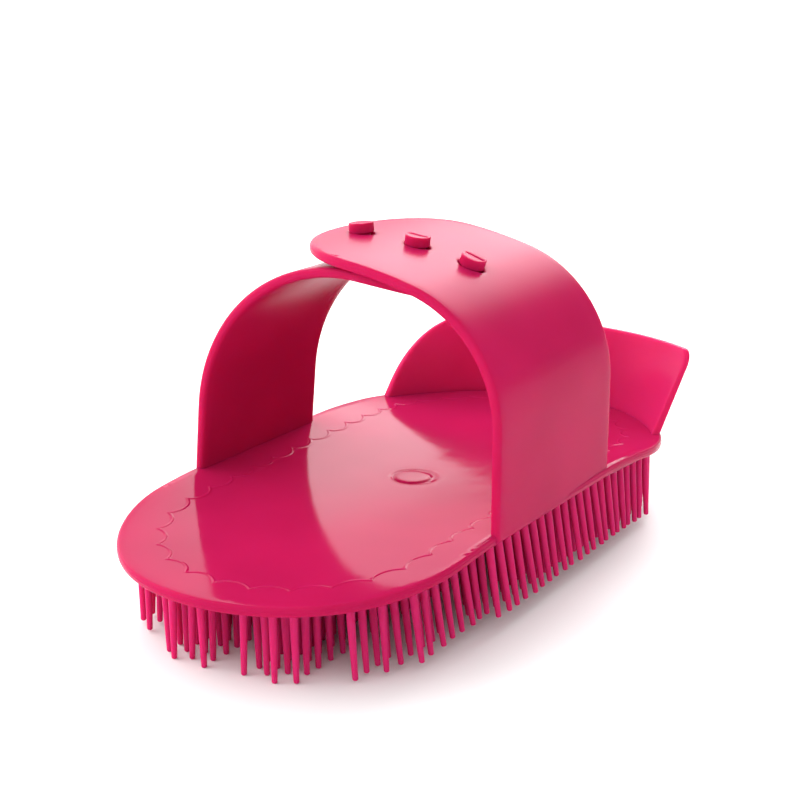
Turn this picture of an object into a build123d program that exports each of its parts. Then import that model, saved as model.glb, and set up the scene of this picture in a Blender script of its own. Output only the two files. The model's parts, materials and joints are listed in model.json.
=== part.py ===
"""Plastic curry comb for horses, with an adjustable hand strap.

One soft polyethylene moulding, modelled region by region: a bowed base plate with an upturned
guard at its rear end, groups of tapered pins under it, and a hand strap in two halves that button
together over the plate with three studs. Millimetres, +Z up, +X towards the guard. The near
strap half stands on the -Y edge and lies on top, the far half stands on the +Y edge and carries
the studs. The lowest pins stand on z = 0, and the origin is under the middle of the object's box.
"""
import os
from math import asin, cos, degrees, exp, radians, sin, sqrt

from build123d import *

# Base plate: two round ends joined by straight sides, its long edges pulled up by the strap
thickness = 2.4
plate_top = 20.0
plate_length = 179.2
front_radius = 43.1
rear_radius = 44.9
edge_rise = 4.7
edge_rise_at = 45.0
rise_reach = 26.0
rise_falloff = 37.0
rim_round = 1.0
upright_slope = 0.9
slab_reach = 60.0
slab_stations = (-92, -66, -44, -26, 0, 26, 44, 66, 86, 106)
gate_radius = 4.7
gate_height = 0.35

# Guard: a wall on the plate's rear arc whose top edge is straighter than its foot
guard_height = 22.5
guard_setback = 2.6
guard_near_angle = -65.0
guard_far_angle = 80.0
guard_foot_thickness = 2.3
guard_foot_inset = 0.9
guard_top_thickness = 1.8
guard_top_radius = 67.0
guard_top_near = 40.0
guard_top_far = 46.0
guard_sideways_lean = -4.3
guard_near_corner = 4.5
guard_far_corner = 17.0
guard_foot_sink = 0.5

# Strap: each half is a leg, a shoulder arc and a crown arc. The near half is wider and flatter.
strap_forward = 6.7
strap_face_y = 43.95
near_width = 57.0
near_leg = 24.6
near_shoulder_radius = 30.7
near_shoulder_turn = 73.7
near_crown_radius = 123.0
near_reach = 18.2
near_tip_round = 22.0
far_width = 48.5
far_forward = 1.7
far_lean = 5.0
far_shoulder_radius = 41.5
far_crown_radius = 68.0
far_reach = 27.0
far_tip_round = 24.0
strap_gap = 0.3
closest_angle = -12.0

# Hinge lines: a half-round edge that turns in a groove
running_clearance = 0.05
side_clearance = 0.2
root_relief = 1.0
groove_reach = 8.0
lean_limit = 24.0
peel_limit = 50.0
hinge_margin = 9.0
peel_turn = 54.0

# Studs, placed by their angle about the far crown's axis, with their heads just above the near half
stud_angles = (5.0, -7.4, -19.5)
stud_neck_radius = 2.75
stud_head_radius = 3.05
stud_head_height = 2.2
head_clearance = 0.2
stud_root = 0.9
stud_groove_width = 0.6
stud_groove_depth = 0.5
hole_clearance = 0.2
hole_stretch = 1.8

# Pins, square to the plate's underside, in groups of staggered rows with channels between them
pin_groups = 4
pin_group_pitch = 21.5
pin_group_rows = 4
pin_row_pitch = 3.8
pin_pitch = 4.1
pins_sideways = -2.2
pin_side_distance = 3.2
pin_end_distance = 6.3
pin_foot_radius = 1.0
pin_tip_radius = 0.65

# Worked out
half = thickness / 2
front_x = front_radius - plate_length / 2
rear_x = plate_length / 2 - rear_radius
near_x = -strap_forward
far_x = near_x - far_forward
root_y = strap_face_y - half
root_z = plate_top + edge_rise * (root_y / edge_rise_at) ** 2 - half
groove_radius = half + running_clearance
pin_length = plate_top - thickness
trim_height = 120.0

os.makedirs("parts", exist_ok=True)


def rise_at(x):
    """How far the long edges are pulled up at x: fully beside the strap, fading to the ends."""
    beyond = max(0.0, abs(x - near_x) - rise_reach)
    return edge_rise * exp(-((beyond / rise_falloff) ** 2))


def underside(x, y):
    """Height of the plate's underside."""
    return plate_top - thickness + rise_at(x) * (y / edge_rise_at) ** 2


def crosswise_curve(x, z):
    """Crosswise parabola at x, with its lowest point at height z."""
    rise = rise_at(x) * (slab_reach / edge_rise_at) ** 2
    return Bezier((x, -slab_reach, z + rise), (x, 0, z - rise), (x, slab_reach, z + rise))


def slab_section(x):
    """Closed crosswise outline of the bowed slab at x."""
    top = crosswise_curve(x, plate_top)
    bottom = crosswise_curve(x, plate_top - thickness)
    return Wire([bottom, Line(bottom @ 1, top @ 1), top, Line(bottom @ 0, top @ 0)])


def export(piece, name):
    piece.part.label = name
    export_step(piece.part, f"parts/{name}.step")


slab = Solid.make_loft([slab_section(near_x + along) for along in slab_stations])


def root_groove(side, middle, width):
    """What the plate loses at a strap root: its rim, the groove and the room to lean inwards."""
    length = width + 2 * side_clearance
    start = Plane(
        (middle - side * length / 2, side * root_y, root_z), x_dir=(0, side, 0), z_dir=(side, 0, 0)
    )
    opening = radians(90 + lean_limit + hinge_margin)
    with BuildPart() as groove:
        with BuildSketch(start):
            Circle(groove_radius)
            with BuildLine():
                Polyline(
                    (0, -groove_reach),
                    (groove_reach, -groove_reach),
                    (groove_reach, groove_reach),
                    (groove_reach * cos(opening), groove_reach * sin(opening)),
                    (0, 0),
                    close=True,
                )
            make_face()
        extrude(amount=length)
    return groove.part


# The base plate, with the moulding gate's disc in the middle
grooves = [root_groove(-1, near_x, near_width), root_groove(1, far_x, far_width)]
with BuildPart() as base_plate:
    with BuildSketch() as outline:
        with Locations((front_x, 0)):
            Circle(front_radius)
        with Locations((rear_x, 0)):
            Circle(rear_radius)
        make_hull()
    extrude(amount=trim_height)
    add(slab, mode=Mode.INTERSECT)
    # Only the loft's seams in the side wall run upright, and they stay sharp
    rim = [edge for edge in base_plate.edges() if abs((edge % 0.5).Z) < upright_slope]
    fillet(rim, rim_round)
    with Locations((0, 0, plate_top - half)):
        Cylinder(gate_radius, half + gate_height, align=(Align.CENTER, Align.CENTER, Align.MIN))
    add(grooves, mode=Mode.SUBTRACT)
export(base_plate, "base_plate")


def guard_strip(radius, wall, start, turn, centre, height):
    """Thin arc-shaped face that the guard's wall starts or ends on."""
    with BuildSketch(Plane.XY.offset(height)) as strip:
        with BuildLine():
            outer_arc = CenterArc(centre, radius, start, turn)
            inner_arc = CenterArc(centre, radius - wall, start, turn)
            Line(outer_arc @ 0, inner_arc @ 0)
            Line(outer_arc @ 1, inner_arc @ 1)
        make_face()
    return strip.sketch


# The guard
guard_top_x = plate_length / 2 - guard_setback - guard_top_radius
near_top_angle = -degrees(asin(guard_top_near / guard_top_radius))
far_top_angle = degrees(asin(guard_top_far / guard_top_radius))
guard_foot = guard_strip(
    rear_radius - guard_foot_inset,
    guard_foot_thickness,
    guard_near_angle,
    guard_far_angle - guard_near_angle,
    (rear_x, 0),
    plate_top - guard_foot_sink,
)
guard_rim = guard_strip(
    guard_top_radius,
    guard_top_thickness,
    near_top_angle,
    far_top_angle - near_top_angle,
    (guard_top_x, guard_sideways_lean),
    plate_top + guard_height,
)
near_foot_y = (rear_radius - guard_foot_inset) * sin(radians(guard_near_angle))
far_foot_y = (rear_radius - guard_foot_inset) * sin(radians(guard_far_angle))
with BuildPart() as guard_outline:
    with BuildSketch(Plane.YZ) as guard_face_on:
        with BuildLine():
            Polyline(
                (near_foot_y, 0),
                (near_foot_y, plate_top),
                (guard_sideways_lean - guard_top_near, plate_top + guard_height),
                (guard_sideways_lean + guard_top_far, plate_top + guard_height),
                (far_foot_y, plate_top),
                (far_foot_y, 0),
                close=True,
            )
        make_face()
        top_corners = guard_face_on.vertices().group_by(Axis.Y)[-1].sort_by(Axis.X)
        fillet(top_corners[0], guard_near_corner)
        fillet(top_corners[-1], guard_far_corner)
    extrude(amount=plate_length)
with BuildPart() as end_guard:
    add(guard_foot)
    add(guard_rim)
    loft(ruled=True)
    add(guard_outline.part, mode=Mode.INTERSECT)
    add(base_plate.part, mode=Mode.SUBTRACT)
export(end_guard, "end_guard")

# Strap paths, drawn crosswise on a plane across the plate: a leg, a shoulder arc and a crown arc
turned = radians(near_shoulder_turn)
shoulder_y = -root_y + near_shoulder_radius
shoulder_z = root_z + near_leg
near_crown_y = shoulder_y + (near_crown_radius - near_shoulder_radius) * cos(turned)
near_crown_z = shoulder_z - (near_crown_radius - near_shoulder_radius) * sin(turned)
near_crown_end = degrees(asin((near_reach - near_crown_y) / near_crown_radius))
near_crown_turn = 90 - near_shoulder_turn + near_crown_end

# The far crown arc lies under the near one, and comes within the strap gap of it at one angle
axes_apart = near_crown_radius - thickness - strap_gap - far_crown_radius
far_crown_y = near_crown_y + axes_apart * sin(radians(closest_angle))
far_crown_z = near_crown_z + axes_apart * cos(radians(closest_angle))

# The far shoulder arc touches the far leg's line and the far crown arc. Its centre is found by
# going up the line at one shoulder radius inside it, until it is as far from the crown's axis as
# the two radii differ.
lean = radians(far_lean)
start_y = root_y - far_shoulder_radius * cos(lean) - far_crown_y
start_z = root_z - far_shoulder_radius * sin(lean) - far_crown_z
along = start_y * -sin(lean) + start_z * cos(lean)
apart = far_crown_radius - far_shoulder_radius
far_leg = -along + sqrt(along**2 - (start_y**2 + start_z**2) + apart**2)
far_meet = degrees(asin((start_y - far_leg * sin(lean)) / apart))
far_shoulder_turn = 90 - far_lean - far_meet
far_end = degrees(asin((far_reach + far_crown_y) / far_crown_radius))

across_near = Plane((near_x, 0, 0), x_dir=(0, 1, 0), z_dir=(1, 0, 0))
across_far = Plane((far_x, 0, 0), x_dir=(0, 1, 0), z_dir=(1, 0, 0))


def root_relief_cut(side):
    """Crosswise face cut from a strap half above its hinge line, on the side that faces inwards."""
    with BuildSketch(Plane.YZ) as cut:
        with Locations((side * (root_y - thickness), root_z + (half + root_relief) / 2)):
            Rectangle(2 * thickness, half + root_relief)
        with Locations((side * root_y, root_z)):
            Circle(half, mode=Mode.SUBTRACT)
    return cut.sketch_local


def plan_outline(middle, width, tip_y, tip_round, side):
    """Plan shape of a strap half: straight edges from its root, and a round free end at tip_y."""
    with BuildPart() as outline:
        with BuildSketch():
            with BuildLine():
                arc_y = tip_y + side * tip_round
                far_y = side * 2 * strap_face_y
                left = middle - width / 2
                right = middle + width / 2
                start_angle = 90 + side * 90
                EllipticalCenterArc((middle, arc_y), width / 2, tip_round, start_angle, arc_size=180)
                Polyline((right, arc_y), (right, far_y), (left, far_y), (left, arc_y))
            make_face()
        extrude(amount=trim_height)
    return outline.part


# The far half: leg, shoulder, and a crown arc that runs on under the near half
far_relief = root_relief_cut(1)
far_plan = plan_outline(far_x, far_width, -far_reach, far_tip_round, 1)
with BuildPart() as strap_far:
    with BuildSketch(across_far):
        with BuildLine():
            leg = Line((root_y, root_z), (root_y - far_leg * sin(lean), root_z + far_leg * cos(lean)))
            shoulder = JernArc(leg @ 1, leg % 1, far_shoulder_radius, far_shoulder_turn)
            JernArc(shoulder @ 1, shoulder % 1, far_crown_radius, far_meet + far_end)
        trace(line_width=thickness)
        with Locations((root_y, root_z)):
            Circle(half)
        add(far_relief, mode=Mode.SUBTRACT)
    extrude(amount=far_width / 2, both=True)
    add(far_plan, mode=Mode.INTERSECT)
export(strap_far, "strap_far")


def stud_plane(angle):
    """Plane on the far half's outer face, its x axis along the strap and its z axis outwards."""
    outer_radius = far_crown_radius + half
    y = far_crown_y + outer_radius * sin(radians(angle))
    z = far_crown_z + outer_radius * cos(radians(angle))
    return Plane(
        (far_x, y, z),
        x_dir=(0, cos(radians(angle)), -sin(radians(angle))),
        z_dir=(0, sin(radians(angle)), cos(radians(angle))),
    )


def head_height(angle):
    """How far a stud's head starts above the far half's outer face, to clear the near half's."""
    seat = stud_plane(angle)
    from_axis = seat.origin - Vector(far_x, near_crown_y, near_crown_z)
    outwards = from_axis.dot(seat.z_dir)
    outer_radius = near_crown_radius + half
    to_face = sqrt(outwards**2 - from_axis.length**2 + outer_radius**2) - outwards
    return to_face + head_clearance


def half_width_inside(x):
    """Half-width at x of the area that carries pins."""
    front = front_radius - pin_side_distance
    rear = rear_radius - pin_side_distance
    if x < front_x:
        share = (front_x - x) / (front_radius - pin_end_distance)
        return front * sqrt(max(0.0, 1 - share**2))
    if x > rear_x:
        share = (x - rear_x) / (rear_radius - pin_end_distance)
        return rear * sqrt(max(0.0, 1 - share**2))
    return front + (rear - front) * (x - front_x) / (rear_x - front_x)


def pin_plane(x, y):
    """Plane on the plate's underside, with its z axis pointing squarely away from the plate."""
    step = 0.5
    slope_x = (underside(x + step, y) - underside(x - step, y)) / (2 * step)
    slope_y = (underside(x, y + step) - underside(x, y - step)) / (2 * step)
    return Plane((x, y, underside(x, y)), x_dir=(1, 0, slope_x), z_dir=(slope_x, slope_y, -1))


# The three studs
with BuildPart() as studs:
    for angle in stud_angles:
        seat = stud_plane(angle)
        neck = head_height(angle)
        with Locations(seat.offset(-stud_root)):
            Cylinder(stud_neck_radius, stud_root + neck, align=(Align.CENTER, Align.CENTER, Align.MIN))
        with Locations(seat.offset(neck)):
            Cylinder(stud_head_radius, stud_head_height, align=(Align.CENTER, Align.CENTER, Align.MIN))
        with Locations(seat.offset(neck + stud_head_height)):
            Box(3 * stud_head_radius, stud_groove_width, 2 * stud_groove_depth, mode=Mode.SUBTRACT)
    add(strap_far.part, mode=Mode.SUBTRACT)
export(studs, "studs")

# The near half: its leg and most of its shoulder, up to the second hinge line. The groove there
# is cut back on its outer side, so that the free end can fold back.
peel = radians(peel_turn)
peel_y = shoulder_y - near_shoulder_radius * cos(peel)
peel_z = shoulder_z + near_shoulder_radius * sin(peel)
fold_back = peel - radians(90 + peel_limit + hinge_margin)
near_relief = root_relief_cut(-1)
with BuildSketch(across_near) as peel_groove:
    with Locations((peel_y, peel_z)):
        Circle(groove_radius)
    with BuildLine():
        Polyline(
            (peel_y, peel_z),
            (peel_y - groove_reach * cos(peel), peel_z + groove_reach * sin(peel)),
            (peel_y + groove_reach * sin(fold_back), peel_z + groove_reach * cos(fold_back)),
            close=True,
        )
    make_face()
with BuildPart() as strap_near:
    with BuildSketch(across_near):
        with BuildLine():
            leg = Line((-root_y, root_z), (-root_y, shoulder_z))
            JernArc(leg @ 1, leg % 1, near_shoulder_radius, -peel_turn)
        trace(line_width=thickness)
        with Locations((-root_y, root_z)):
            Circle(half)
        add(near_relief, mode=Mode.SUBTRACT)
        add(peel_groove.sketch_local, mode=Mode.SUBTRACT)
    extrude(amount=near_width / 2, both=True)
export(strap_near, "strap_near")

# The near half's free end, with stretched holes over the studs
near_plan = plan_outline(near_x, near_width, near_reach, near_tip_round, -1)
with BuildPart() as strap_tip:
    with BuildSketch(across_near):
        with BuildLine():
            rest = JernArc(
                (peel_y, peel_z), (sin(peel), cos(peel)), near_shoulder_radius, peel_turn - near_shoulder_turn
            )
            JernArc(rest @ 1, rest % 1, near_crown_radius, -near_crown_turn)
        trace(line_width=thickness)
        with Locations((peel_y, peel_z)):
            Circle(half)
    extrude(amount=near_width / 2, both=True)
    add(near_plan, mode=Mode.INTERSECT)
    for angle in stud_angles:
        with BuildSketch(stud_plane(angle)):
            SlotCenterToCenter(2 * hole_stretch, 2 * (stud_head_radius + hole_clearance))
        extrude(amount=head_height(angle) + stud_head_height, mode=Mode.SUBTRACT)
export(strap_tip, "strap_tip")

# The pins: each row is a set of separate tapered pins that end on the plate's underside
for row in range(pin_groups * pin_group_rows):
    group, place = divmod(row, pin_group_rows)
    group_y = pins_sideways + (group - (pin_groups - 1) / 2) * pin_group_pitch
    y = group_y + (place - (pin_group_rows - 1) / 2) * pin_row_pitch
    stagger = pin_pitch / 2 if place % 2 else 0.0
    steps = int(plate_length / 2 / pin_pitch)
    columns = [stagger + step * pin_pitch for step in range(-steps, steps + 1)]
    columns = [x for x in columns if half_width_inside(x) > abs(y)]
    seats = [pin_plane(x, y) for x in columns]
    with BuildPart() as pins:
        with Locations(seats):
            Cone(
                pin_foot_radius,
                pin_tip_radius,
                pin_length,
                align=(Align.CENTER, Align.CENTER, Align.MIN),
            )
    export(pins, f"pin_row_{row + 1:02d}")
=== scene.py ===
"""Looks of the plastic curry comb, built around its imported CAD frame.

Shapes are worked out in millimetres, in the frame's axes (+X towards the guard, +Z up), and become
metres when a mesh is made. Every thin wall is one closed sheet with a rounded rim: it is drawn flat
as an outline with holes and fine relief, and then placed on its curved middle surface.
"""
import json
from math import asin, atan2, ceil, cos, degrees, exp, hypot, pi, radians, sin, sqrt

import bmesh
import bpy
import numpy as np
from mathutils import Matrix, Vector, noise
from mathutils.geometry import delaunay_2d_cdt


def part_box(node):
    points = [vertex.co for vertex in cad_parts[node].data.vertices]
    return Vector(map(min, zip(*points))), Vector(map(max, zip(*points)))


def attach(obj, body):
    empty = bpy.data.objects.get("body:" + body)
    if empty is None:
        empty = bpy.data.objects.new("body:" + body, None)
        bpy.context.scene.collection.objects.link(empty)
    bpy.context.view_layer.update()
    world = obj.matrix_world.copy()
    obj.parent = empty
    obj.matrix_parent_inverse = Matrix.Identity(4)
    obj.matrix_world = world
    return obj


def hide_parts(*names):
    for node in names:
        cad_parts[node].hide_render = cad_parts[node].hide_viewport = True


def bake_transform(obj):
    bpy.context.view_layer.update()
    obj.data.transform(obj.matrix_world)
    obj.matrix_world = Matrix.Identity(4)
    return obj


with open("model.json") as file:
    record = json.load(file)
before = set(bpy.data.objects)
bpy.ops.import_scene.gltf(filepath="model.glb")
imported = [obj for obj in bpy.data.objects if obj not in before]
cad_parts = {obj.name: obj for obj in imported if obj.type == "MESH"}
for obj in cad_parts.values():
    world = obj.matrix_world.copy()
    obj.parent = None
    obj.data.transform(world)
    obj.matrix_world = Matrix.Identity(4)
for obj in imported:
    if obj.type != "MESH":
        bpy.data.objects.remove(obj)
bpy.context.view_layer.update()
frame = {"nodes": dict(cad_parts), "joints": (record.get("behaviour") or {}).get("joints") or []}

MM = 0.001

# Meshes: longest step along an edge, how near an edge fill points come, how far corners stretch
edge_step = 1.0
fill_clearance = 0.55
miter_limit = 0.35
rim_steps = 5

# Plate
thickness = 2.4
front_radius = 43.1
edge_rise = 4.7
edge_rise_at = 45.0
rise_reach = 26.0
rise_falloff = 37.0
plate_rim = 0.7
parting_line = 0.07
parting_line_foot = 0.14
parting_line_crest = 0.05
undulation = 0.035
undulation_length = 19.0
undulation_seed = 3.7
plate_spacing = (1.8, 1.8)
plate_points = 552

# Scallop line and gate mark moulded on the plate
scallop_count = 46
scallop_inset = 8.9
scallop_depth = 2.3
scallop_height = 0.16
scallop_half_width = 0.2
scallop_steps = 24
scallop_flat = 3.0
gate_radius = 4.7
gate_points = 72

# Rings of the gate mark from its middle out: a low disc in a shallow moat that is wider on one
# side. Each is its distance past the disc's edge, its height and its shift to that side.
gate_rings = (
    (-3.1, 0.34, 0.0),
    (-1.5, 0.32, 0.0),
    (-0.6, 0.27, 0.0),
    (-0.25, 0.18, 0.0),
    (0.0, 0.0, 0.0),
    (0.25, -0.16, 0.05),
    (0.65, -0.20, 0.25),
    (1.2, -0.04, 0.5),
    (1.6, 0.05, 0.6),
    (2.5, 0.0, 0.6),
)

# Guard
guard_near_angle = -65.0
guard_far_angle = 80.0
guard_foot_thickness = 2.3
guard_foot_inset = 0.9
guard_top_thickness = 1.8
guard_top_radius = 67.0
guard_top_near = 40.0
guard_top_far = 46.0
guard_sideways_lean = -4.3
guard_near_corner = 4.5
guard_far_corner = 17.0
guard_foot_sink = 0.5
guard_rim = 0.75
guard_spacing = (1.5, 1.5)

# Strap paths: each half is a leg, a shoulder arc and a crown arc
near_leg = 24.6
near_shoulder_radius = 30.7
near_shoulder_turn = 73.7
near_crown_radius = 123.0
near_reach = 18.2
near_tip_round = 22.0
far_lean = 5.0
far_shoulder_radius = 41.5
far_crown_radius = 68.0
far_reach = 27.0
far_tip_round = 24.0
strap_gap = 0.3
closest_angle = -12.0
strap_rim = 0.95
root_sink = 0.7
peel_blend = 10.0
strap_spacing = (1.2, 2.4)
strap_tip_steps = 60

# Studs and their holes, placed by their angle about the far crown's axis
stud_angles = (5.0, -7.4, -19.5)
stud_neck_radius = 2.1
stud_head_radius = 3.05
stud_proud = 2.35
stud_sink = 0.12
stud_rim = 0.3
stud_groove_width = 0.55
stud_groove_depth = 0.3
stud_groove_lip = 0.1
stud_groove_wall = 0.12
stud_groove_end = 0.25
stud_foot_flare = 0.45
stud_foot_height = 0.5
stud_spacing = (0.6, 0.6)
stud_edge_step = 0.35
stud_head_points = 56
stud_neck_points = 40
hole_half_width = 2.25
hole_half_length = 3.35

# Pins, in groups of staggered rows with channels between them
pin_groups = 4
pin_group_pitch = 21.5
pin_group_rows = 4
pin_row_pitch = 3.8
pin_pitch = 4.1
pins_sideways = -2.2
pin_side_distance = 3.2
pin_end_distance = 6.3
pin_foot_radius = 1.0
pin_tip_radius = 0.65
pin_sides = 16
pin_tilt_spread = 0.9
pin_tip_round = 0.4
pin_tip_steps = 4
pin_shaft_steps = 4

# The flare at each pin's foot: distance below the plate, and radius
pin_flare = ((-0.5, 1.45), (0.0, 1.35), (0.35, 1.15), (0.9, 0.98))

# Plastics: colours, and the noise that varies them (scales in repeats per metre)
magenta = (0.42, 0.008, 0.070)
# The guard's colour is the comb's one plastic painted lighter: painted light for the light that
# comes through the thin guard.
guard_magenta_painted_lighter = (0.52, 0.014, 0.10)
pin_magenta = (0.55, 0.02, 0.13)
tone_scale = 45
tone_low = 0.93
tone_high = 1.05
gloss_scale = 60
gloss_low = 0.93
gloss_high = 1.07
wave_scale = 70

# Camera: where it stands as seen from its target, and where it looks
camera_azimuth = 31.9
camera_elevation = 19.2
camera_distance = 402.0
look_azimuth = 32.0
look_down = 16.4
target_behind = 4.75

# Floor: half its width, in metres
floor_reach = 12.0

# Studio dome: each light's direction in the frame's axes, its strength, and the angles in degrees
# from that direction at which it has faded out and at which it is full
dome_low = 0.62
dome_high = 0.95
dome_spread = (100, 40)
panel_direction = (0.81, 0.2, 0.55)
panel_strength = 8.0
panel_spread = (27, 8)
backdrop_direction = (0.60, 0.72, 0.38)
backdrop_strength = 2.0
backdrop_spread = (27, 6)
fill_direction = (-0.85, 0.15, 0.5)
fill_strength = 0.9
fill_spread = (60, 15)
back_direction = (-0.2, 0.9, 0.4)
back_strength = 2.4
back_spread = (50, 15)
dark_direction = (0.80, -0.58, 0.1)
dark_share = 0.4
dark_spread = (50, 15)

rng = np.random.default_rng(11)


def box_mm(node):
    """Lowest and highest corner of a CAD node, in millimetres."""
    low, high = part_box(node)
    return low / MM, high / MM


def joint_mm(name):
    """A joint's place, in millimetres."""
    joint = next(j for j in frame["joints"] if j["name"] == name)
    return Vector(joint["pos_m"]) / MM


# Worked out from the frame
plate_low, plate_high = box_mm("base_plate")
guard_high = box_mm("end_guard")[1]
near_low, near_high = box_mm("strap_near")
far_low, far_high = box_mm("strap_far")
far_root = joint_mm("far_strap_lean")
peel_hinge = joint_mm("free_end_peel")
plate_x = (plate_low.x + plate_high.x) / 2
rear_radius = (plate_high.y - plate_low.y) / 2
front_x = plate_low.x + front_radius
rear_x = plate_high.x - rear_radius
plate_top = plate_low.z + thickness
near_x = (near_low.x + near_high.x) / 2
near_width = near_high.x - near_low.x
far_x = (far_low.x + far_high.x) / 2
far_width = far_high.x - far_low.x
root_y = far_root.y
root_z = far_root.z
half = thickness / 2


# Mesh building


def offset_loop(loop, distance):
    """The closed loop moved sideways, to its left where distance is positive."""
    points = np.asarray(loop, float)
    before = points - np.roll(points, 1, axis=0)
    after = np.roll(points, -1, axis=0) - points
    before /= np.linalg.norm(before, axis=1)[:, None]
    after /= np.linalg.norm(after, axis=1)[:, None]
    left = np.stack([-(before + after)[:, 1], (before + after)[:, 0]], axis=1)
    left /= np.linalg.norm(left, axis=1)[:, None]
    straight = np.stack([-before[:, 1], before[:, 0]], axis=1)
    miter = np.clip((left * straight).sum(axis=1), miter_limit, 1.0)
    return points + left * (distance / miter)[:, None]


def inside(points, loop):
    """Which of the points lie inside the closed loop."""
    hit = np.zeros(len(points), bool)
    x, y = points[:, 0], points[:, 1]
    for (ax, ay), (bx, by) in zip(loop, np.roll(loop, -1, axis=0)):
        if ay == by:
            continue
        crosses = (ay > y) != (by > y)
        hit ^= crosses & (x < (bx - ax) * (y - ay) / (by - ay) + ax)
    return hit


def fill_points(loops, holes, spacing):
    """Regular points inside the first loop, clear of all loops and outside the holes."""
    outline = loops[0]
    low, high = outline.min(0), outline.max(0)
    counts = [max(2, int(ceil((high[i] - low[i]) / spacing[i]))) for i in (0, 1)]
    u = np.linspace(low[0], high[0], counts[0] + 1)[1:-1]
    v = np.linspace(low[1], high[1], counts[1] + 1)[1:-1]
    grid = np.stack(np.meshgrid(u, v, indexing="ij"), axis=-1).reshape(-1, 2)
    grid = grid[inside(grid, outline)]
    for hole in holes:
        grid = grid[~inside(grid, hole)]
    reach = fill_clearance * min(spacing)
    for loop in loops:
        for start in range(0, len(loop), 200):
            part = loop[start:start + 200]
            away = np.linalg.norm(grid[:, None] - part[None], axis=2).min(axis=1)
            grid = grid[away > reach]
    return grid


def triangulate(loops, holes, spacing):
    """Points, triangles and, for each loop, the indices of its points."""
    points = [Vector(p) for loop in loops for p in loop]
    edges = []
    start = 0
    for loop in loops:
        count = len(loop)
        edges += [(start + i, start + (i + 1) % count) for i in range(count)]
        start += count
    points += [Vector(p) for p in fill_points(loops, holes, spacing)]
    verts, _, faces, origins, _, _ = delaunay_2d_cdt(points, edges, [], 0, 1e-5)
    flat = np.array([tuple(p) for p in verts])
    triangles = np.array([f for f in faces if len(f) == 3])
    for hole in holes:
        middles = flat[triangles].mean(axis=1)
        triangles = triangles[~inside(middles, hole)]
    new_index = {old: new for new, olds in enumerate(origins) for old in olds}
    rings, start = [], 0
    for loop in loops:
        rings.append([new_index[start + i] for i in range(len(loop))])
        start += len(loop)
    return flat, triangles, rings


def rim_profile(rim, wall, ridge=0.0):
    """(inset, height) pairs down a wall's rounded rim, with a fine ridge at its middle if asked."""
    turns = [pi / 2 * k / rim_steps for k in range(1, rim_steps + 1)]
    upper = [(rim * (1 - sin(t)) + ridge, wall / 2 - rim * (1 - cos(t))) for t in turns]
    lower = [(inset, -height) for inset, height in reversed(upper)]
    if not ridge:
        return upper + (lower if wall > 2 * rim else lower[1:])
    foot, crest = parting_line_foot, parting_line_crest
    return upper + [(ridge, foot), (0.0, crest), (0.0, -crest), (ridge, -foot)] + lower


def sheet(name, outline, place, wall, rim, spacing, holes=(), relief=(), ridge=0.0):
    """Closed sheet with a rounded rim.

    outline runs anticlockwise and holes clockwise, in the sheet's flat (u, v) coordinates.
    relief is (loop, height) pairs on the upper face. place maps (u, v, height) to the frame.
    """
    outline = np.asarray(outline, float)
    holes = [np.asarray(hole, float) for hole in holes]
    edges = [outline] + holes
    face_edges = [offset_loop(loop, rim + ridge) for loop in edges]
    cut_holes = face_edges[1:]
    upper = triangulate(face_edges + [np.asarray(loop) for loop, _ in relief], cut_holes, spacing)
    lower = triangulate(face_edges, cut_holes, spacing)
    points, faces = [], []

    flat, triangles, upper_rings = upper
    heights = np.full(len(flat), wall / 2)
    for ring, (_, height) in zip(upper_rings[len(edges):], relief):
        heights[ring] += height
    points += [(u, v, h) for (u, v), h in zip(flat, heights)]
    faces += [tuple(t) for t in triangles]

    flat, triangles, lower_rings = lower
    base = len(points)
    points += [(u, v, -wall / 2) for u, v in flat]
    faces += [tuple(base + i for i in t[::-1]) for t in triangles]

    for number, loop in enumerate(edges):
        above = upper_rings[number]
        for inset, height in rim_profile(rim, wall, ridge=ridge)[:-1]:
            moved = offset_loop(loop, inset)
            below = list(range(len(points), len(points) + len(moved)))
            points += [(u, v, height) for u, v in moved]
            faces += band(above, below)
            above = below
        faces += band(above, [base + i for i in lower_rings[number]])
    return make_piece(name, [place(*p) for p in points], faces)


def band(above, below):
    """Four-sided faces between two rings of as many points."""
    count = len(above)
    return [
        (above[i], below[i], below[(i + 1) % count], above[(i + 1) % count]) for i in range(count)
    ]


def make_piece(name, points, faces):
    """Smooth-shaded object from points in millimetres."""
    mesh = bpy.data.meshes.new(name)
    mesh.from_pydata([Vector(p) * MM for p in points], [], faces)
    work = bmesh.new()
    work.from_mesh(mesh)
    bmesh.ops.remove_doubles(work, verts=work.verts, dist=1e-7)
    bmesh.ops.dissolve_degenerate(work, edges=work.edges, dist=1e-7)
    bmesh.ops.recalc_face_normals(work, faces=work.faces)
    work.to_mesh(mesh)
    work.free()
    for polygon in mesh.polygons:
        polygon.use_smooth = True
    piece = bpy.data.objects.new(name, mesh)
    bpy.context.scene.collection.objects.link(piece)
    return piece


# Plate


def rise_at(x):
    """How far the long edges are pulled up at x: fully beside the strap, fading to the ends."""
    beyond = max(0.0, abs(x - near_x) - rise_reach)
    return edge_rise * exp(-((beyond / rise_falloff) ** 2))


def plate_height(x, y):
    """Height of the plate's top."""
    return plate_top + rise_at(x) * (y / edge_rise_at) ** 2


def plate_place(x, y, height):
    """The plate's middle surface, gently uneven, as the soft plastic cools."""
    uneven = noise.noise(Vector((x, y, undulation_seed)) / undulation_length) * undulation
    return (x, y, plate_height(x, y) - half + height + uneven)


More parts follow.
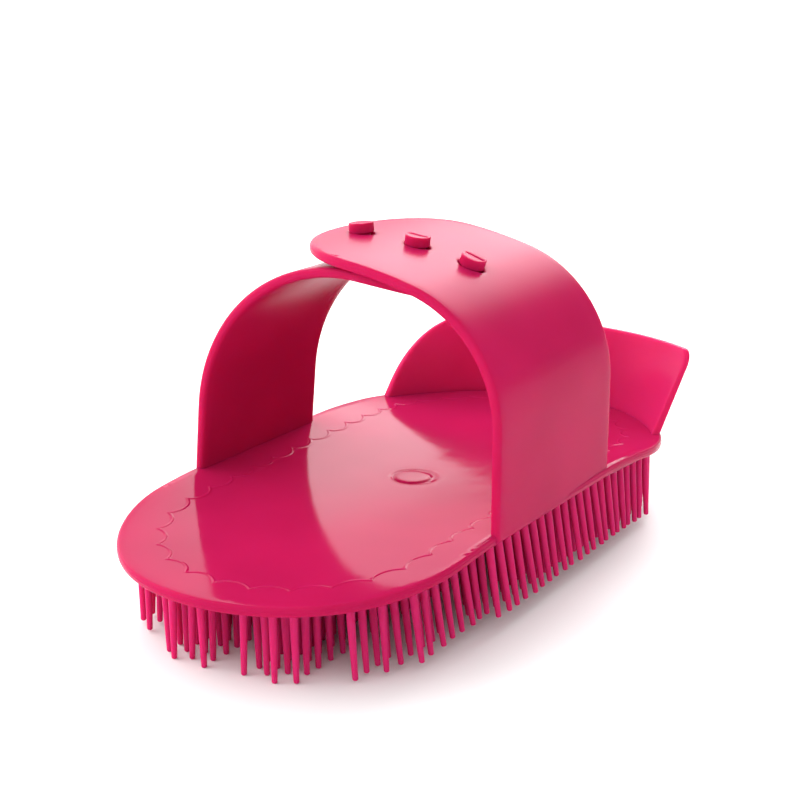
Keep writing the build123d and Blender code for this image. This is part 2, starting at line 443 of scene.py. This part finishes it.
def plate_loop(inset_at, count):
    """Loop round the plate, moved in by inset_at(how far round, from 0 to 1)."""
    front, rear = front_radius - scallop_inset, rear_radius - scallop_inset
    tilt = asin((rear_radius - front_radius) / (rear_x - front_x))
    side = (rear_x - front_x) * cos(tilt)
    spans = [(pi / 2 - tilt) * front, side, (pi + 2 * tilt) * rear, side, (pi / 2 - tilt) * front]
    total = sum(spans)
    points = []
    for step in range(count):
        share = step / count
        along = share * total
        inset = inset_at(share)
        if along < spans[0]:
            turn = -pi + along / front
            centre, radius = front_x, front_radius
        elif along < spans[0] + spans[1]:
            turn = -pi / 2 - tilt
            part = (along - spans[0]) / side
            centre = front_x + part * (rear_x - front_x)
            radius = front_radius + part * (rear_radius - front_radius)
        elif along < sum(spans[:3]):
            turn = -pi / 2 - tilt + (along - spans[0] - spans[1]) / rear
            centre, radius = rear_x, rear_radius
        elif along < sum(spans[:4]):
            turn = pi / 2 + tilt
            part = (along - sum(spans[:3])) / side
            centre = rear_x + part * (front_x - rear_x)
            radius = rear_radius + part * (front_radius - rear_radius)
        else:
            turn = pi / 2 + tilt + (along - sum(spans[:4])) / front
            centre, radius = front_x, front_radius
        reach = radius - inset
        points.append((centre + reach * cos(turn), reach * sin(turn)))
    return np.array(points)


def scallop_loops():
    """Relief loops of the scallop line: a fine ridge of arcs that bulge inwards."""
    chord = plate_perimeter(scallop_inset) / scallop_count
    radius = ((chord / 2) ** 2 + scallop_depth**2) / (2 * scallop_depth)

    def inset_at(share, sideways):
        across = ((share * scallop_count) % 1.0 - 0.5) * chord
        drop = sqrt(radius**2 - across**2)
        slope = abs(across) / drop
        bulge = drop - (radius - scallop_depth)
        return scallop_inset + bulge + sideways * sqrt(1 + slope**2)

    def loop(side):
        return plate_loop(lambda share: inset_at(share, side * scallop_half_width), count)

    count = scallop_count * scallop_steps
    edges = [(loop(side), 0.0) for side in (-scallop_flat, -1.0)]
    ridge = [(loop(0.0), scallop_height)]
    return edges + ridge + [(loop(side), 0.0) for side in (1.0, scallop_flat)]


def plate_perimeter(inset):
    loop = plate_loop(lambda share: inset, 720)
    return np.linalg.norm(loop - np.roll(loop, 1, axis=0), axis=1).sum()


def circle(x, y, radius, count, turn=1, squeeze=1.0):
    """Loop of points round a circle, anticlockwise where turn is 1."""
    angles = [turn * 2 * pi * k / count for k in range(count)]
    return np.array([(x + radius * cos(a), y + radius * squeeze * sin(a)) for a in angles])


def gate_loops():
    """Relief loops of the mark that the moulding gate left."""
    return [
        (circle(plate_x + shift, -shift / 2, gate_radius + past, gate_points), up)
        for past, up, shift in gate_rings
    ]


def make_plate():
    outline = plate_loop(lambda share: 0.0, plate_points)
    relief = scallop_loops() + gate_loops()
    piece = sheet(
        "base_plate_skin",
        outline,
        plate_place,
        thickness,
        plate_rim,
        plate_spacing,
        relief=relief,
        ridge=parting_line,
    )
    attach(piece, "base")
    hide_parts("base_plate")
    return piece


# Guard

guard_height = guard_high.z - plate_top
guard_top_x = guard_high.x - guard_top_radius
near_top_turn = -degrees(asin(guard_top_near / guard_top_radius))
far_top_turn = degrees(asin(guard_top_far / guard_top_radius))
guard_half_turn = (guard_far_angle - guard_near_angle) / 2
guard_middle_turn = (guard_far_angle + guard_near_angle) / 2
guard_span = (rear_radius - guard_foot_inset) * radians(guard_half_turn)


def guard_place(u, v, height):
    """The guard's wall: a ruled surface from the plate's rear arc up to a straighter top edge."""
    share = v / guard_height
    turn = u / guard_span
    wall = guard_foot_thickness + share * (guard_top_thickness - guard_foot_thickness)
    outwards = height / guard_foot_thickness * wall
    low_turn = radians(guard_middle_turn + turn * guard_half_turn)
    low_radius = rear_radius - guard_foot_inset - guard_foot_thickness / 2 + outwards
    high_turn = radians(near_top_turn + (turn + 1) / 2 * (far_top_turn - near_top_turn))
    high_radius = guard_top_radius - guard_top_thickness / 2 + outwards
    low = Vector((rear_x + low_radius * cos(low_turn), low_radius * sin(low_turn), plate_top))
    high = Vector(
        (
            guard_top_x + high_radius * cos(high_turn),
            guard_sideways_lean + high_radius * sin(high_turn),
            plate_top + guard_height,
        )
    )
    return low.lerp(high, share)


def rounded_corner(corner, radius, start_angle, steps=14):
    """Anticlockwise quarter circle that rounds an outer corner."""
    cx = corner[0] - radius * (cos(radians(start_angle)) - sin(radians(start_angle)))
    cy = corner[1] - radius * (sin(radians(start_angle)) + cos(radians(start_angle)))
    angles = [radians(start_angle + 90 * k / steps) for k in range(steps + 1)]
    return [(cx + radius * cos(a), cy + radius * sin(a)) for a in angles]


def dense(points, step):
    """Closed loop with extra points so that no gap is longer than step."""
    out = []
    for a, b in zip(points, points[1:] + points[:1]):
        pieces = max(1, int(ceil(hypot(b[0] - a[0], b[1] - a[1]) / step)))
        shares = [k / pieces for k in range(pieces)]
        out += [(a[0] + (b[0] - a[0]) * t, a[1] + (b[1] - a[1]) * t) for t in shares]
    return out


def make_guard():
    low = -guard_foot_sink
    outline = (
        [(-guard_span, low), (guard_span, low)]
        + rounded_corner((guard_span, guard_height), guard_far_corner, 0)
        + rounded_corner((-guard_span, guard_height), guard_near_corner, 90)
    )
    piece = sheet(
        "end_guard_skin",
        dense(outline, edge_step),
        guard_place,
        guard_foot_thickness,
        guard_rim,
        guard_spacing,
    )
    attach(piece, "base")
    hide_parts("end_guard")
    return piece


# Strap


class Path:
    """Crosswise path of straight runs and arcs, in (y, z)."""

    def __init__(self, start, heading):
        self.pieces = []
        self.point = np.array(start, float)
        self.heading = radians(heading)
        self.length = 0.0

    def run(self, length, turn=0.0):
        """Adds a run; turn is its whole change of heading in degrees, clockwise from upright."""
        self.pieces.append((self.length, length, self.point.copy(), self.heading, radians(turn)))
        self.length += length
        self.point, self.heading = self.at(self.length)
        return self

    def at(self, distance):
        """Point and heading at a distance along the path."""
        start, length, point, heading, turn = next(
            (p for p in reversed(self.pieces) if distance >= p[0]), self.pieces[0]
        )
        along = distance - start
        if abs(turn) < 1e-9:
            return point + along * np.array([sin(heading), cos(heading)]), heading
        radius = length / turn
        now = heading + along / radius
        moved = radius * np.array([cos(heading) - cos(now), sin(now) - sin(heading)])
        return point + moved, now


turned = radians(near_shoulder_turn)
shoulder_y = -root_y + near_shoulder_radius
shoulder_z = root_z + near_leg
near_crown_y = shoulder_y + (near_crown_radius - near_shoulder_radius) * cos(turned)
near_crown_z = shoulder_z - (near_crown_radius - near_shoulder_radius) * sin(turned)
near_crown_end = degrees(asin((near_reach - near_crown_y) / near_crown_radius))
near_crown_turn = 90 - near_shoulder_turn + near_crown_end

axes_apart = near_crown_radius - thickness - strap_gap - far_crown_radius
far_crown_y = near_crown_y + axes_apart * sin(radians(closest_angle))
far_crown_z = near_crown_z + axes_apart * cos(radians(closest_angle))
lean = radians(far_lean)
start_y = root_y - far_shoulder_radius * cos(lean) - far_crown_y
start_z = root_z - far_shoulder_radius * sin(lean) - far_crown_z
along = start_y * -sin(lean) + start_z * cos(lean)
apart = far_crown_radius - far_shoulder_radius
far_leg = -along + sqrt(along**2 - (start_y**2 + start_z**2) + apart**2)
far_meet = degrees(asin((start_y - far_leg * sin(lean)) / apart))
far_shoulder_turn = 90 - far_lean - far_meet
far_crown_turn = far_meet + degrees(asin((far_reach + far_crown_y) / far_crown_radius))

near_path = (
    Path((-root_y, root_z), 0)
    .run(near_leg)
    .run(near_shoulder_radius * turned, near_shoulder_turn)
    .run(near_crown_radius * radians(near_crown_turn), near_crown_turn)
)
far_path = (
    Path((root_y, root_z), -far_lean)
    .run(far_leg)
    .run(far_shoulder_radius * radians(far_shoulder_turn), -far_shoulder_turn)
    .run(far_crown_radius * radians(far_crown_turn), -far_crown_turn)
)


def strap_outline(length, width, tip_round):
    """Flat outline: straight edges from the buried root, and an elliptical free end."""
    turns = [-pi / 2 + pi * k / strap_tip_steps for k in range(strap_tip_steps + 1)]
    tip = [(length - tip_round + tip_round * cos(a), width / 2 * sin(a)) for a in turns]
    return dense([(-root_sink, -width / 2)] + tip + [(-root_sink, width / 2)], edge_step)


def pointed_hole(u, v, steps=14):
    """Clockwise loop of a stretched hole whose two arcs meet in points along the strap."""
    radius = (hole_half_width**2 + hole_half_length**2) / (2 * hole_half_width)
    sweep = asin(hole_half_length / radius)
    angles = [-sweep + 2 * sweep * k / steps for k in range(steps)]
    middle = v + hole_half_width - radius
    upper = [(u + radius * sin(a), middle + radius * cos(a)) for a in angles]
    lower = [(2 * u - x, 2 * v - y) for x, y in upper]
    return upper + lower


def stud_axis(angle):
    """A stud's foot on the far half's outer face, and the direction it points in."""
    outwards = Vector((0, sin(radians(angle)), cos(radians(angle))))
    return Vector((far_x, far_crown_y, far_crown_z)) + outwards * (far_crown_radius + half), outwards


def to_near_crown(angle, offset):
    """How far along a stud's axis the near half's crown lies, at an offset from its middle."""
    foot, outwards = stud_axis(angle)
    from_axis = foot - Vector((far_x, near_crown_y, near_crown_z))
    rise = from_axis.dot(outwards)
    return sqrt(rise**2 - from_axis.length_squared + (near_crown_radius + offset) ** 2) - rise


def near_distance(angle):
    """Distance along the near path of the point that a stud passes through."""
    foot, outwards = stud_axis(angle)
    middle = foot + outwards * to_near_crown(angle, 0.0)
    turn = atan2(middle.y - near_crown_y, middle.z - near_crown_z)
    return near_leg + near_shoulder_radius * turned + near_crown_radius * (pi / 2 - turned + turn)


def near_place(u, v, height):
    point, heading = near_path.at(u)
    return (near_x + v, point[0] - height * cos(heading), point[1] + height * sin(heading))


def far_place(u, v, height):
    point, heading = far_path.at(u)
    return (far_x - v, point[0] + height * cos(heading), point[1] - height * sin(heading))


def make_near_half():
    holes = [pointed_hole(near_distance(angle), far_x - near_x) for angle in stud_angles]
    piece = sheet(
        "strap_near_half",
        strap_outline(near_path.length, near_width, near_tip_round),
        near_place,
        thickness,
        strap_rim,
        strap_spacing,
        holes=holes,
    )
    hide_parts("strap_near", "strap_tip")
    return piece


def blend_near_half(piece):
    """Bakes the near half's placing into its points; the step across the peel line is worked out but
    not used.
    """
    heading = near_path.at(near_leg + near_shoulder_radius * peel_turn())[1]
    step = Vector((0, sin(heading), cos(heading))) * peel_blend
    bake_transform(piece)


def peel_turn():
    """How far round the near shoulder the peel line lies, in radians."""
    return atan2(peel_hinge.z - shoulder_z, shoulder_y - peel_hinge.y)


def make_far_half():
    piece = sheet(
        "strap_far_half",
        strap_outline(far_path.length, far_width, far_tip_round),
        far_place,
        thickness,
        strap_rim,
        strap_spacing,
    )
    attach(piece, "far_strap")
    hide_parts("strap_far")
    return piece


# Studs


stud_head_height = stud_proud + stud_sink


def stud_place(angle):
    """Placing function of a stud's head, whose u runs along the strap."""
    foot, outwards = stud_axis(angle)
    along = Vector((0, outwards.z, -outwards.y))
    middle = to_near_crown(angle, half) - stud_sink + stud_head_height / 2

    def place(u, v, height):
        return foot + along * u + Vector((-v, 0, 0)) + outwards * (middle + height)

    return place


def stud_groove_loops():
    """Relief loops of the straight groove across a stud's head."""
    reach = stud_head_radius - stud_rim - stud_groove_wall
    wide = stud_groove_width / 2

    def loop(half_width, half_length):
        corners = [
            (-half_length, -half_width),
            (half_length, -half_width),
            (half_length, half_width),
            (-half_length, half_width),
        ]
        return dense(corners, stud_edge_step)

    return [
        (loop(wide + stud_groove_lip, reach), 0.0),
        (loop(wide, reach - stud_groove_lip), -stud_groove_lip),
        (loop(wide - stud_groove_wall, reach - stud_groove_end), -stud_groove_depth),
    ]


def make_stud(number, angle):
    """A stud's slotted head, and the neck that carries it through the near half's hole."""
    head = sheet(
        f"stud_{number}",
        circle(0, 0, stud_head_radius, stud_head_points),
        stud_place(angle),
        stud_head_height,
        stud_rim,
        stud_spacing,
        relief=stud_groove_loops(),
    )
    foot, outwards = stud_axis(angle)
    along = Vector((0, outwards.z, -outwards.y))
    top = to_near_crown(angle, half)
    flared = stud_neck_radius + stud_foot_flare
    shaft = [(top, stud_neck_radius), (stud_foot_height, stud_neck_radius)]
    rings = shaft + [(0.0, flared), (-half / 2, flared)]
    count = stud_neck_points
    points, faces = [], []
    for height, radius in rings:
        for u, v in circle(0, 0, radius, count):
            points.append(foot + along * u + Vector((-v, 0, 0)) + outwards * height)
    for k in range(len(rings) - 1):
        above = list(range(k * count, (k + 1) * count))
        faces += band(above, [i + count for i in above])
    faces.append(tuple(range(count)))
    faces.append(tuple(range(len(points) - 1, len(points) - 1 - count, -1)))
    neck = make_piece(f"stud_{number}_neck", points, faces)
    for piece in (head, neck):
        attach(piece, "far_strap")
    return head, neck


# Pins


def half_width_inside(x):
    """Half-width at x of the area that carries pins."""
    front = front_radius - pin_side_distance
    rear = rear_radius - pin_side_distance
    if x < front_x:
        share = (front_x - x) / (front_radius - pin_end_distance)
        return front * sqrt(max(0.0, 1 - share**2))
    if x > rear_x:
        share = (x - rear_x) / (rear_radius - pin_end_distance)
        return rear * sqrt(max(0.0, 1 - share**2))
    return front + (rear - front) * (x - front_x) / (rear_x - front_x)


def pin_axis(x, y):
    """Direction squarely away from the plate's underside."""
    step = 0.5
    slope_x = (plate_height(x + step, y) - plate_height(x - step, y)) / (2 * step)
    slope_y = (plate_height(x, y + step) - plate_height(x, y - step)) / (2 * step)
    return Vector((slope_x, slope_y, -1)).normalized()


def add_pin(points, faces, x, y, length):
    """A tapered pin with a flared foot and a rounded tip."""
    axis = pin_axis(x, y)
    tilt = radians(pin_tilt_spread)
    axis = (axis + Vector((rng.normal(0, tilt), rng.normal(0, tilt), 0))).normalized()
    side = axis.orthogonal().normalized()
    other = axis.cross(side)
    foot = Vector((x, y, plate_height(x, y) - thickness))
    taper = pin_tip_radius - pin_foot_radius
    sections = list(pin_flare)
    for k in range(1, pin_shaft_steps):
        share = k / pin_shaft_steps
        sections.append((length * share, pin_foot_radius + taper * share))
    for k in range(pin_tip_steps + 1):
        turn = pi / 2 * k / pin_tip_steps
        down = length - pin_tip_round * (1 - sin(turn))
        sections.append((down, pin_tip_radius - pin_tip_round * (1 - cos(turn))))
    start = len(points)
    for along_axis, radius in sections:
        centre = foot + axis * along_axis
        for k in range(pin_sides):
            angle = 2 * pi * k / pin_sides
            points.append(centre + (side * cos(angle) + other * sin(angle)) * radius)
    rings = [[start + s * pin_sides + k for k in range(pin_sides)] for s in range(len(sections))]
    for above, below in zip(rings, rings[1:]):
        faces += band(above, below)
    faces.append(tuple(rings[0]))
    faces.append(tuple(reversed(rings[-1])))


def make_pins():
    pieces = []
    length = plate_low.z
    rows = sorted(name for name in frame["nodes"] if name.startswith("pin_row_"))
    for row, name in enumerate(rows):
        group, position = divmod(row, pin_group_rows)
        group_y = pins_sideways + (group - (pin_groups - 1) / 2) * pin_group_pitch
        y = group_y + (position - (pin_group_rows - 1) / 2) * pin_row_pitch
        stagger = pin_pitch / 2 if position % 2 else 0.0
        steps = int((plate_high.x - plate_low.x) / 2 / pin_pitch)
        columns = [plate_x + stagger + k * pin_pitch for k in range(-steps, steps + 1)]
        points, faces = [], []
        for x in columns:
            if half_width_inside(x) > abs(y):
                add_pin(points, faces, x, y, length)
        piece = make_piece(name.replace("pin_row", "pins"), points, faces)
        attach(piece, "base")
        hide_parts(name)
        pieces.append(piece)
    return pieces


# Materials


def plastic(name, colour, roughness, wave_height, scatter):
    """Glossy, slightly translucent moulded polyethylene, with faint changes of tone and gloss."""
    material = bpy.data.materials.new(name)
    material.use_nodes = True
    nodes, links = material.node_tree.nodes, material.node_tree.links
    shader = nodes["Principled BSDF"]
    shader.inputs["IOR"].default_value = 1.5
    shader.inputs["Specular IOR Level"].default_value = 0.03
    shader.inputs["Subsurface Weight"].default_value = scatter
    shader.inputs["Subsurface Radius"].default_value = (1.0, 0.12, 0.25)
    shader.inputs["Subsurface Scale"].default_value = 0.004
    where = nodes.new("ShaderNodeTexCoord")

    def noise_texture(scale, detail):
        texture = nodes.new("ShaderNodeTexNoise")
        texture.inputs["Scale"].default_value = scale
        texture.inputs["Detail"].default_value = detail
        links.new(where.outputs["Object"], texture.inputs["Vector"])
        return texture.outputs["Fac"]

    def between(value, low, high):
        spread = nodes.new("ShaderNodeMapRange")
        spread.interpolation_type = "SMOOTHSTEP"
        spread.inputs["From Min"].default_value = 0.2
        spread.inputs["From Max"].default_value = 0.8
        spread.inputs["To Min"].default_value = low
        spread.inputs["To Max"].default_value = high
        links.new(value, spread.inputs["Value"])
        return spread.outputs["Result"]

    tone = nodes.new("ShaderNodeMixRGB")
    tone.inputs["Color1"].default_value = (*[c * tone_low for c in colour], 1)
    tone.inputs["Color2"].default_value = (*[c * tone_high for c in colour], 1)
    links.new(between(noise_texture(tone_scale, 1), 0, 1), tone.inputs["Fac"])
    links.new(tone.outputs["Color"], shader.inputs["Base Color"])
    gloss = between(noise_texture(gloss_scale, 1), roughness * gloss_low, roughness * gloss_high)
    links.new(gloss, shader.inputs["Roughness"])
    waves = nodes.new("ShaderNodeBump")
    waves.inputs["Distance"].default_value = wave_height * MM
    links.new(noise_texture(wave_scale, 2), waves.inputs["Height"])
    links.new(waves.outputs["Normal"], shader.inputs["Normal"])
    return material


def paint(piece, material):
    piece.data.materials.clear()
    piece.data.materials.append(material)


# Floor, light and camera


def make_floor():
    mesh = bpy.data.meshes.new("floor")
    signs = [(-1, -1), (1, -1), (1, 1), (-1, 1)]
    corners = [(floor_reach * x, floor_reach * y, 0) for x, y in signs]
    mesh.from_pydata(corners, [], [(0, 1, 2, 3)])
    floor = bpy.data.objects.new("floor", mesh)
    bpy.context.scene.collection.objects.link(floor)
    material = bpy.data.materials.new("floor_white")
    material.use_nodes = True
    shader = material.node_tree.nodes["Principled BSDF"]
    shader.inputs["Base Color"].default_value = (0.92, 0.92, 0.92, 1)
    shader.inputs["Roughness"].default_value = 0.7
    shader.inputs["Specular IOR Level"].default_value = 0.2
    paint(floor, material)


def make_world():
    """Studio dome: pale all round, a soft panel and a backdrop behind, two fills, a dimmer side."""
    world = bpy.data.worlds.new("studio")
    bpy.context.scene.world = world
    world.use_nodes = True
    nodes, links = world.node_tree.nodes, world.node_tree.links
    where = nodes.new("ShaderNodeTexCoord")

    def lobe(direction, spread, outside, inside_value):
        """Smooth change from outside to inside_value around a direction."""
        edge, core = spread
        facing = nodes.new("ShaderNodeVectorMath")
        facing.operation = "DOT_PRODUCT"
        facing.inputs[1].default_value = Vector(direction).normalized()
        links.new(where.outputs["Generated"], facing.inputs[0])
        ramp = nodes.new("ShaderNodeMapRange")
        ramp.interpolation_type = "SMOOTHSTEP"
        ramp.inputs["From Min"].default_value = cos(radians(edge))
        ramp.inputs["From Max"].default_value = cos(radians(core))
        ramp.inputs["To Min"].default_value = outside
        ramp.inputs["To Max"].default_value = inside_value
        links.new(facing.outputs["Value"], ramp.inputs["Value"])
        return ramp.outputs["Result"]

    def combine(operation, one, other):
        math = nodes.new("ShaderNodeMath")
        math.operation = operation
        links.new(one, math.inputs[0])
        links.new(other, math.inputs[1])
        return math.outputs["Value"]

    dome = lobe((0, 0, 1), dome_spread, dome_low, dome_high)
    panel = lobe(panel_direction, panel_spread, 0.0, panel_strength)
    backdrop = lobe(backdrop_direction, backdrop_spread, 0.0, backdrop_strength)
    fill = lobe(fill_direction, fill_spread, 0.0, fill_strength)
    back = lobe(back_direction, back_spread, 0.0, back_strength)
    dark_side = lobe(dark_direction, dark_spread, 1.0, dark_share)
    behind = combine("ADD", dome, combine("ADD", panel, backdrop))
    bright = combine("ADD", behind, combine("ADD", fill, back))
    links.new(combine("MULTIPLY", bright, dark_side), nodes["Background"].inputs["Strength"])
    nodes["Background"].inputs["Color"].default_value = (1, 1, 1, 1)


def toward(azimuth, elevation):
    """Direction from two angles in degrees; azimuth 0 is +X and 90 is +Y."""
    turn, rise = radians(azimuth), radians(elevation)
    return Vector((cos(rise) * cos(turn), cos(rise) * sin(turn), sin(rise)))


def make_camera():
    """Camera in front of the comb and above it, on the near side."""
    target = Vector((plate_x - target_behind, 0, plate_top))
    sight = toward(camera_azimuth, -camera_elevation)
    look = toward(look_azimuth, -look_down)
    data = bpy.data.cameras.new("camera")
    data.lens = 72
    data.sensor_width = 36
    data.shift_y = 0.005
    data.clip_start = 0.01
    camera = bpy.data.objects.new("camera", data)
    camera.location = (target - sight * camera_distance) * MM
    camera.rotation_euler = look.to_track_quat("-Z", "Y").to_euler()
    bpy.context.scene.collection.objects.link(camera)
    bpy.context.scene.camera = camera
    bpy.context.scene.view_settings.view_transform = "Standard"


plate_look = plastic("plate_plastic", magenta, roughness=0.10, wave_height=0.08, scatter=0.35)
# The guard's material carries the lighter colour, which is painted light, not a different plastic.
guard_look_painted_lighter = plastic("guard_plastic_painted_lighter", guard_magenta_painted_lighter, roughness=0.2, wave_height=0.03, scatter=0.6)
strap_look = plastic("strap_plastic", magenta, roughness=0.24, wave_height=0.0, scatter=0.6)
pin_look = plastic("pin_plastic", pin_magenta, roughness=0.3, wave_height=0.0, scatter=0.5)

paint(make_plate(), plate_look)
paint(make_guard(), guard_look_painted_lighter)
near_half = make_near_half()
paint(near_half, strap_look)
blend_near_half(near_half)
paint(make_far_half(), strap_look)
studs = [piece for number, angle in enumerate(stud_angles, 1) for piece in make_stud(number, angle)]
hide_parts("studs")
for stud in studs:
    paint(stud, strap_look)
for pins in make_pins():
    paint(pins, pin_look)
make_floor()
make_world()
make_camera()
